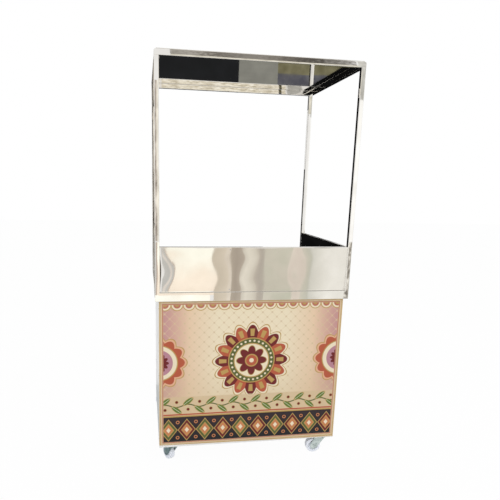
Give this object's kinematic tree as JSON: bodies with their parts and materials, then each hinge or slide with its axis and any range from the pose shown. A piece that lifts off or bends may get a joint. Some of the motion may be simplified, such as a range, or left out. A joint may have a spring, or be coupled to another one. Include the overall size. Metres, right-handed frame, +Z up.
{
  "type": "tea display counter",
  "caption": "Free-standing stainless tea counter: roofed open frame and splash guards over a worktop, boarded base with printed front, shelf and open rear, on swivel castors.",
  "frame": {"origin": "on the floor, under the centre of the rim's and roof's outline", "axes": "+Z up, the customer's side with the print faces -Y, +X to that customer's right"},
  "size_m": [0.914, 0.68, 1.88],
  "materials": {
    "polished_stainless_tube": "polished square tube",
    "mirror_stainless_sheet": "mirror-polished sheet, slightly wavy",
    "satin_stainless_sheet": "satin mill finish",
    "frame_stainless": "mill-finish welded tube",
    "white_board": "white composite board, semi-gloss",
    "printed_film": null,
    "zinc_plated_steel": "bright zinc plating",
    "white_nylon": "moulded white nylon"
  },
  "bodies": {
    "frame": {"base_bottom_rail_front": "frame_stainless", "base_bottom_rail_left": "frame_stainless", "base_bottom_rail_rear": "frame_stainless", "base_bottom_rail_right": "frame_stainless", "base_leg_front_left": "frame_stainless", "base_leg_front_right": "frame_stainless", "base_leg_rear_left": "frame_stainless", "base_leg_rear_right": "frame_stainless", "base_top_rail_front": "frame_stainless", "base_top_rail_left": "frame_stainless", "base_top_rail_rear": "frame_stainless", "base_top_rail_right": "frame_stainless", "bottom_deck": "satin_stainless_sheet", "castor_kingpins": "zinc_plated_steel", "castor_pads": "frame_stainless", "castor_plates": "zinc_plated_steel", "counter_rim_front": "polished_stainless_tube", "counter_rim_left": "polished_stainless_tube", "counter_rim_rear": "polished_stainless_tube", "counter_rim_right": "polished_stainless_tube", "front_guard": "mirror_stainless_sheet", "front_panel": "white_board", "front_print_film": "printed_film", "left_guard": "mirror_stainless_sheet", "left_panel": "white_board", "middle_shelf": "satin_stainless_sheet", "post_front_left": "polished_stainless_tube", "post_front_right": "polished_stainless_tube", "post_rear_left": "polished_stainless_tube", "post_rear_right": "polished_stainless_tube", "right_guard": "mirror_stainless_sheet", "right_panel": "white_board", "roof_rail_front": "polished_stainless_tube", "roof_rail_left": "polished_stainless_tube", "roof_rail_rear": "polished_stainless_tube", "roof_rail_right": "polished_stainless_tube", "roof_sheet": "mirror_stainless_sheet", "shelf_bearer_left": "frame_stainless", "shelf_bearer_right": "frame_stainless", "worktop_sheet": "mirror_stainless_sheet", "worktop_stiffener": "frame_stainless"},
    "castor_front_left": {"castor_fork_front_left": "zinc_plated_steel", "castor_axle_front_left": "zinc_plated_steel"},
    "wheel_front_left": {"castor_wheel_front_left": "white_nylon"},
    "castor_front_right": {"castor_fork_front_right": "zinc_plated_steel", "castor_axle_front_right": "zinc_plated_steel"},
    "wheel_front_right": {"castor_wheel_front_right": "white_nylon"},
    "castor_rear_left": {"castor_fork_rear_left": "zinc_plated_steel", "castor_axle_rear_left": "zinc_plated_steel"},
    "wheel_rear_left": {"castor_wheel_rear_left": "white_nylon"},
    "castor_rear_right": {"castor_fork_rear_right": "zinc_plated_steel", "castor_axle_rear_right": "zinc_plated_steel"},
    "wheel_rear_right": {"castor_wheel_rear_right": "white_nylon"}
  },
  "joints": [
    {"name": "swivel_front_left", "type": "hinge", "parent": "frame", "child": "castor_front_left", "pos_m": [-0.378, -0.29, 0.08], "axis": [0, 0, 1], "continuous": true},
    {"name": "roll_front_left", "type": "hinge", "parent": "castor_front_left", "child": "wheel_front_left", "pos_m": [-0.39162, -0.26327, 0.0375], "axis": [-0.891, -0.454, 0], "continuous": true},
    {"name": "swivel_front_right", "type": "hinge", "parent": "frame", "child": "castor_front_right", "pos_m": [0.378, -0.29, 0.08], "axis": [0, 0, 1], "continuous": true},
    {"name": "roll_front_right", "type": "hinge", "parent": "castor_front_right", "child": "wheel_front_right", "pos_m": [0.34804, -0.28843, 0.0375], "axis": [-0.0523, -0.9986, 0], "continuous": true},
    {"name": "swivel_rear_left", "type": "hinge", "parent": "frame", "child": "castor_rear_left", "pos_m": [-0.378, 0.29, 0.08], "axis": [0, 0, 1], "continuous": true},
    {"name": "roll_rear_left", "type": "hinge", "parent": "castor_rear_left", "child": "wheel_rear_left", "pos_m": [-0.40398, 0.305, 0.0375], "axis": [-0.5, -0.866, 0], "continuous": true},
    {"name": "swivel_rear_right", "type": "hinge", "parent": "frame", "child": "castor_rear_right", "pos_m": [0.378, 0.29, 0.08], "axis": [0, 0, 1], "continuous": true},
    {"name": "roll_rear_right", "type": "hinge", "parent": "castor_rear_right", "child": "wheel_rear_right", "pos_m": [0.34981, 0.27974, 0.0375], "axis": [0.342, -0.9397, 0], "continuous": true}
  ]
}
